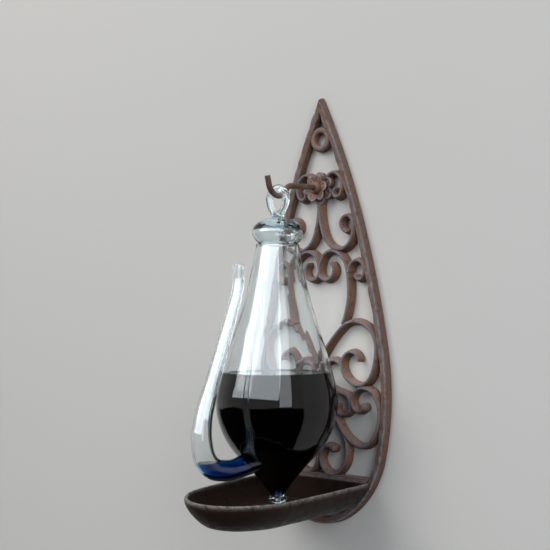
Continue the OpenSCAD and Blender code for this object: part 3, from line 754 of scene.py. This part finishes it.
def uneven(amount, seed):
    """Blown glass is never quite round."""
    def shape(r, h, a):
        return r * (1 - amount * rough_share((math.cos(a) * 14, math.sin(a) * 14, h * 0.35), 16, seed)), h
    return shape


flask_uneven = uneven(0.006, 3.0)
bore = outline(flask_line, -FLASK_WALL, tip_z + 3.4, -0.02)
bore_r, bore_z = bore[-1]
bore += [(bore_r * 0.93, bore_z - 0.7), (bore_r * 0.7, tip_z + 2.2), (bore_r * 0.35, tip_z + 2.0), (0, tip_z + 1.95)]
outer = outline(flask_line, 0, tip_z + 0.3, -0.02) + [(tip_r * 0.96, tip_z + 0.02), (0, tip_z - 0.02)]
outer = outer[::-1] + [(outer[0][0], -0.01), (NECK_IN + 0.35, -0.02)]
wetted = [0.0] * len(outer) + [1.0 if h < LEVEL + 0.3 else 0.0 for r, h in bore]
flask = turned("flask_blown", outer + bore, shape=flask_uneven, wear_highlight_wet=wetted)
piece(flask, "glass", "clear_glass", blown, "flask")

rim, rim_z = max(collar_line, key=lambda q: q[0])[:2]
crown, crown_z = collar_line[0][:2]


def domed(pts):
    """The slope over the rim, raised to a round dome."""
    out = []
    for r, h in pts:
        if h > rim_z:
            f = min(1.0, max(0.0, (r - crown) / (rim - crown)))
            h = max(h, rim_z + (crown_z - rim_z) * (1 - f ** 2.1) ** 0.62)
        out.append((r, h))
    return out


hollow = outline(collar_line, -COLLAR_WALL)
shell = domed(outline(collar_line, 0))
collar_out = [(0, 19.45)] + shell + [(shell[-1][0], 0.03)]
collar_in = [(NECK_IN, 0.03)] + hollow[::-1] + [(0, hollow[0][1])]
collar = turned("neck_collar_blown", collar_out + collar_in, shape=uneven(0.008, 5.0))
piece(collar, "glass", "clear_glass", thick, "neck_collar")

# the eye: a drawn rod bent to a drop, closed at the neck, as (across, height, radius of the rod)
EYE_TOP, EYE_R, EYE_ROD, EYE_SIDES = 33.4, 8.0, 2.6, 28
drop = [(EYE_R * math.sin(rad(a)), EYE_TOP + EYE_R * math.cos(rad(a)), EYE_ROD) for a in range(0, 96, 6)]
drop += [(7.85, 31.0, 2.5), (7.35, 29.2, 2.4), (6.55, 27.3, 2.35), (5.5, 25.5, 2.35), (4.35, 23.9, 2.5),
         (3.2, 22.6, 2.7), (2.0, 21.6, 2.9), (0.9, 21.1, 3.0), (0, 21.0, 3.0)]
loop = drop + [(-x, z, r) for x, z, r in drop[-2:0:-1]]
rings = []
for i, (x, z, r) in enumerate(loop):
    x0, z0, _ = loop[i - 1]
    x1, z1, _ = loop[(i + 1) % len(loop)]
    ln = math.hypot(x1 - x0, z1 - z0)
    nx, nz = (z1 - z0) / ln, -(x1 - x0) / ln
    row = []
    for k in range(EYE_SIDES):
        a = 2 * math.pi * k / EYE_SIDES
        rr = min(r, r * (0.985 + 0.02 * rough((x + nx * math.cos(a) * 2, z, math.sin(a) * 2), 3.5, 4.0)))
        row.append((x + rr * nx * math.cos(a), -SADDLE + rr * math.sin(a), GLASS_Z + z + rr * nz * math.cos(a)))
    rings.append(row)
verts, faces = skin(rings, True)
eye = mesh("hanging_eye_drawn", verts, faces, None, 80)
stalk = turned("stalk", [(0, 19.35), (5.3, 19.35), (4.7, 19.9), (3.9, 20.7), (3.4, 21.7), (3.0, 22.8), (2.2, 24.0),
                         (1.1, 24.6), (0, 24.7)], 48, 80)
eye = joined(eye, stalk, "UNION")
smooth(eye)
piece(eye, "glass", "clear_glass", thick, "hanging_eye")

# the foot button, as (radius, depth under the flask)
FOOT = [(0, 0.06), (4.6, 0.06), (5.6, 0.35), (6.35, 1.0), (6.8, 2.1), (6.65, 3.1), (6.0, 4.0), (4.8, 4.6),
        (2.8, 4.85), (0, 4.9)]


def pinched(r, h, a):
    """Pinched in five places while it was soft."""
    dip = 0.5 + 0.5 * math.cos(5 * a + 0.6)
    lump = rough_share((r * math.cos(a), r * math.sin(a), h), 2.6, 6.0)
    return r * (1 - 0.10 * dip * min(1, abs(h - tip_z) / 2) - 0.06 * lump), h


foot = turned("foot_button_pinched", [(r, tip_z - h) for r, h in FOOT], 72, 80, pinched)
piece(foot, "glass", "clear_glass", thick, "foot_button")

# ---------------------------------------------------------------- spout
MOUTH_R, ELBOW_R, ROOT_R = 3.9, 7.3, 8.4
LEAN, RISE = 21, 9.4
MOUTH = ((40, -16.3), -90)
BASE = (SADDLE, GLASS_Z)
SPOUT_SIDES = 48
SPOUT_WOB, SPOUT_SEED = 0.008, 1.0


def wide_at(part):
    return MOUTH_R + (ELBOW_R - MOUTH_R) * part


# straight length, radius at its end, bend radius, sweep; the root ends inside the flask
SPOUT = [(9.5, MOUTH_R, 40, LEAN), (61.6, wide_at(0.24), 0, 0), (14, wide_at(0.6), 60, -12.3),
         (4, wide_at(0.88), 30, -18.4), (3, ELBOW_R, 19, -(39.3 + RISE + LEAN)), (3, ELBOW_R, 45, -20)]
root = (track(*MOUTH, SPOUT, MOUTH_R, 0.8)[-1][0] - 18) / math.cos(rad(RISE))
spout_line = eased(track(*MOUTH, SPOUT + [(root, ROOT_R, 0, 0)], MOUTH_R, 0.8), 9)
mouth, body = spout_line[0], spout_line[1:]
# the melted lip: how far down, and how much is off the radius
lip = []
for along, less in ((0.6, 0.0), (0.25, 0.12), (0.05, 0.4), (0.0, 0.75), (0.08, 1.1), (0.3, 1.35), (0.6, 1.42)):
    lip += tube_rings([ahead(mouth, along) + (mouth[2], MOUTH_R - less)], 0.0, SPOUT_SIDES, BASE)
outer_rings = tube_rings(body, 0.0, SPOUT_SIDES, BASE, SPOUT_WOB, SPOUT_SEED)
bore_rings = tube_rings(body, SPOUT_WALL, SPOUT_SIDES, BASE, SPOUT_WOB, SPOUT_SEED)
verts, faces = skin(outer_rings[::-1] + lip + bore_rings, True)
spout = mesh("spout_drawn", verts, faces, None, 70)
core_line = outline(flask_line, -1.0)
core = turned("core", [(0, 1), (core_line[0][0], 1)] + core_line + [(0, core_line[-1][1] - 1)])
spout = joined(spout, core, "DIFFERENCE")
smooth(spout)
piece(spout, "glass", "clear_glass", tube_glass, "spout")

# ---------------------------------------------------------------- water
# it stands up a little along the glass, and meets it just under its skin
wet = outline(flask_line, -FLASK_WALL + 0.06, tip_z + 3.4, LEVEL)
top_r, (low_r, low_z) = wet[0][0], wet[-1]
surface = [(0, LEVEL - 0.25), (top_r * 0.85, LEVEL - 0.25), (top_r - 1.6, LEVEL - 0.12), (top_r - 0.7, LEVEL + 0.25),
           (top_r - 0.15, LEVEL + 0.8)]
wet += [(low_r * 0.9, low_z - 0.6), (low_r * 0.6, tip_z + 2.25), (0, tip_z + 2.1)]
water = turned("water_in_flask", surface + wet, shape=flask_uneven, wear_highlight_wet=[0.0] * len(surface) + [1.0] * len(wet))
piece(water, "glass", "blue_water", water_blue, "water")

# in the spout it fills the foot and stands level in the upright limb
pool_line = [q for q in spout_line if q[1] < SPOUT_LEVEL + 16]
verts, faces = skin(tube_rings(pool_line, SPOUT_WALL - 0.06, SPOUT_SIDES, BASE, SPOUT_WOB, SPOUT_SEED))
pool = mesh("water_in_spout", verts, faces, [1.0] * len(verts), 60)
with edited(pool.data) as bm:
    limb = [f for f in bm.faces if all(-v.co.y > (SADDLE + 50) * MM for v in f.verts)]
    part = list({v for f in limb for v in f.verts}) + list({e for f in limb for e in f.edges}) + limb
    bmesh.ops.bisect_plane(bm, geom=sorted(part, key=lambda g: (str(type(g)), g.index)),
                           plane_co=(0, 0, (GLASS_Z + SPOUT_LEVEL) * MM), plane_no=(0, 0, 1), clear_outer=True)
    top_face = bmesh.ops.holes_fill(bm, edges=[e for e in bm.edges if e.is_boundary])["faces"]
    bmesh.ops.inset_individual(bm, faces=top_face, thickness=0.3 * MM)
    wetness = bm.verts.layers.float["wear_highlight_wet"]
    for f in top_face:
        for v in f.verts:
            v[wetness] = 0.0
smooth(pool, 50)
piece(pool, "glass", "blue_water", water_blue)

for o in made:
    if o.data.materials[0] in GLASSES:
        o.visible_shadow = False


# ---------------------------------------------------------------- wall, floor and ground
def plain(name, colour, see_through_back=False):
    m, t, b = nodes_of(name)
    b.inputs["Base Color"].default_value = colour
    b.inputs["Roughness"].default_value = 0.9
    b.inputs["Specular IOR Level"].default_value = 0.1
    if see_through_back:
        two = put(t, "ShaderNodeMixShader", i0=put(t, "ShaderNodeNewGeometry").outputs["Backfacing"],
                  i1=b.outputs[0], i2=put(t, "ShaderNodeBsdfTransparent").outputs[0])
        t.links.new(two.outputs[0], t.nodes["Material Output"].inputs["Surface"])
    return m


def stage_plane(name, corners, mat):
    me = bpy.data.meshes.new(name)
    me.from_pydata(corners, [], [(0, 1, 2, 3)])
    o = bpy.data.objects.new(name, me)
    bpy.context.collection.objects.link(o)
    me.materials.append(mat)
    return o


def level_plane(name, reach, near, far, z, mat):
    """A level plane from near to far along y, and as far as reach to each side."""
    return stage_plane(name, [(-reach, near, z), (reach, near, z), (reach, far, z), (-reach, far, z)], mat)


PALE = srgb("#d2d0cc")
WALL_Y, WALL_TOP, FLOOR_Z, STAGE_X = 0.0004, 2.4, -1, 3
stage_plane("wall", [(-STAGE_X, WALL_Y, FLOOR_Z), (STAGE_X, WALL_Y, FLOOR_Z), (STAGE_X, WALL_Y, WALL_TOP),
                     (-STAGE_X, WALL_Y, WALL_TOP)], plain("pale_wall", PALE, True))
level_plane("floor", STAGE_X, -1.2, 0.2, FLOOR_Z, plain("pale_floor", PALE))
# the glass in the photograph mirrors dark ground, so reflections alone see one here
ground = level_plane("ground", 6, -6, 0, FLOOR_Z + 0.01, plain("dark_ground", srgb("#1a1817")))
ground.visible_camera = ground.visible_diffuse = ground.visible_transmission = ground.visible_shadow = False

# ---------------------------------------------------------------- sky and lamps
# the sky lights the object; the camera, glass and reflections see a pale background
SKY, BACKGROUND = 0.56, 0.8
world = bpy.data.worlds.new("sky")
bpy.context.scene.world = world
world.use_nodes = True
wt = world.node_tree
sky = wt.nodes["Background"]
sky.inputs["Strength"].default_value = SKY
way = put(wt, "ShaderNodeSeparateXYZ", Vector=put(wt, "ShaderNodeTexCoord").outputs["Generated"])
wt.links.new(ramp(wt, share(wt, way.outputs[2]), [(0.44, srgb("#34312f")), (0.52, srgb("#c3c9d1")),
                                                  (0.78, srgb("#dfe8f4"))]), sky.inputs["Color"])
rays = put(wt, "ShaderNodeLightPath").outputs
seen = calc(wt, "MAXIMUM", rays["Is Camera Ray"], rays["Is Transmission Ray"])
seen = calc(wt, "MAXIMUM", seen, rays["Is Glossy Ray"])
shown = put(wt, "ShaderNodeBackground", i0=PALE, i1=BACKGROUND)
two = put(wt, "ShaderNodeMixShader", i0=seen, i1=sky.outputs[0], i2=shown.outputs[0])
wt.links.new(two.outputs[0], wt.nodes["World Output"].inputs[0])


def lamp(name, at, aim, wide, high, watts, colour, on_matt=True):
    d = bpy.data.lights.new(name, "AREA")
    d.shape = "RECTANGLE"
    d.size, d.size_y, d.energy, d.color = wide, high, watts, colour
    o = bpy.data.objects.new(name, d)
    o.location = at
    o.rotation_euler = (Vector(aim) - Vector(at)).to_track_quat("-Z", "Y").to_euler()
    o.visible_diffuse = on_matt
    bpy.context.collection.objects.link(o)
    return o


lamp("key", (-0.55, -1.15, 0.75), (0, -0.05, -0.1), 0.9, 1.2, 13, (1.0, 0.98, 0.95))
# a bright sky that the glass mirrors: linked to the glass and the water alone, and put out after a matt bounce
card = lamp("sky_card", (-0.2, -1.85, 0.80), (-0.2, -0.05, 0.15), 4.2, 1.5, 130, (0.84, 0.93, 1.0), on_matt=False)
shiny = bpy.data.collections.new("glass_only")
for o in made:
    if o.data.materials[0] in GLASSES + (water_blue,):
        shiny.objects.link(o)
card.light_linking.receiver_collection = shiny
card.data.use_nodes = True
ct = card.data.node_tree
straight = calc(ct, "LESS_THAN", put(ct, "ShaderNodeLightPath").outputs["Diffuse Depth"], 0.5)
ct.links.new(straight, ct.nodes["Emission"].inputs["Strength"])
lamp("window", (1.05, -0.75, 0.25), (0, -0.05, -0.12), 0.5, 1.1, 6, (0.88, 0.94, 1.0))
